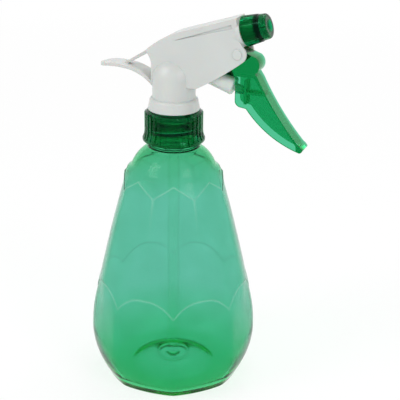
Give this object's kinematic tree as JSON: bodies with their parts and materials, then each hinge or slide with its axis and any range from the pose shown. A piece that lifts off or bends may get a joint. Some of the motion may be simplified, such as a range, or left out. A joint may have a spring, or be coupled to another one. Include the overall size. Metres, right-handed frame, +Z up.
{
  "type": "trigger spray bottle",
  "caption": "Faceted clear bottle with a screw-on trigger sprayer, thumb rest, adjustable nozzle, pump piston, check valves and dip tube.",
  "frame": {"origin": "on the bottle's axis, in the plane it stands on", "axes": "+Z up along the bottle's axis, +X towards the nozzle, +Y to the left of the nozzle"},
  "size_m": [0.119, 0.0906, 0.2125],
  "materials": {
    "bottle_plastic": "clear tinted gloss",
    "dark_green": "gloss",
    "trigger_green": "gloss, slightly translucent",
    "white_plastic": "satin",
    "clear_plastic": "translucent satin",
    "soft_seal": "matte",
    "steel": "bright"
  },
  "bodies": {
    "bottle": {"bottle": "bottle_plastic"},
    "sprayer": {"sprayer_housing": "white_plastic", "neck_gasket": "soft_seal", "tube_retainer": "clear_plastic", "dip_tube": "clear_plastic", "spinner": "white_plastic", "return_spring": "steel"},
    "cap": {"closure_cap": "dark_green"},
    "trigger": {"trigger": "trigger_green"},
    "piston": {"pump_piston": "clear_plastic", "piston_seal": "soft_seal"},
    "inlet_ball": {"inlet_ball": "steel"},
    "outlet_ball": {"outlet_ball": "steel"},
    "nozzle_washer": {"nozzle_seal": "soft_seal"},
    "nozzle": {"nozzle": "dark_green"}
  },
  "joints": [
    {"name": "cap_unscrew", "type": "hinge", "parent": "sprayer", "child": "cap", "pos_m": [0, 0, 0.1394], "axis": [0, 0, 1], "range_deg": [0, 540]},
    {"name": "sprayer_lift", "type": "slide", "parent": "bottle", "child": "sprayer", "axis": [0, 0, 1], "range_m": [0, 0.00634]},
    {"name": "trigger_pull", "type": "hinge", "parent": "sprayer", "child": "trigger", "pos_m": [0.0374, 0, 0.1914], "axis": [0, 1, 0], "range_deg": [0, 20], "stiffness_Nm_per_rad": 0.6, "springref_deg": -8.59},
    {"name": "piston_stroke", "type": "slide", "parent": "sprayer", "child": "piston", "axis": [-0.9397, 0, 0.342], "range_m": [0, 0.0068], "deforming": ["return_spring"]},
    {"name": "nozzle_turn", "type": "hinge", "parent": "nozzle_washer", "child": "nozzle", "pos_m": [0.0393, 0, 0.2025], "axis": [0.9527, 0, 0.304], "range_deg": [0, 180]},
    {"name": "nozzle_travel", "type": "slide", "parent": "sprayer", "child": "nozzle_washer", "axis": [0.9527, 0, 0.304], "range_m": [0, 0.0015]},
    {"name": "inlet_ball_lift", "type": "slide", "parent": "sprayer", "child": "inlet_ball", "axis": [0, 0, 1], "range_m": [0, 0.0015]},
    {"name": "outlet_ball_lift", "type": "slide", "parent": "sprayer", "child": "outlet_ball", "axis": [0.9527, 0, 0.304], "range_m": [0, 0.0012]}
  ],
  "couplings": [
    {"joint": "cap_unscrew", "follows": "sprayer_lift", "rad_per_m": 1484.3},
    {"joint": "piston_stroke", "follows": "trigger_pull", "m_per_rad": 0.0194},
    {"joint": "nozzle_turn", "follows": "nozzle_travel", "rad_per_m": 2094.2}
  ]
}
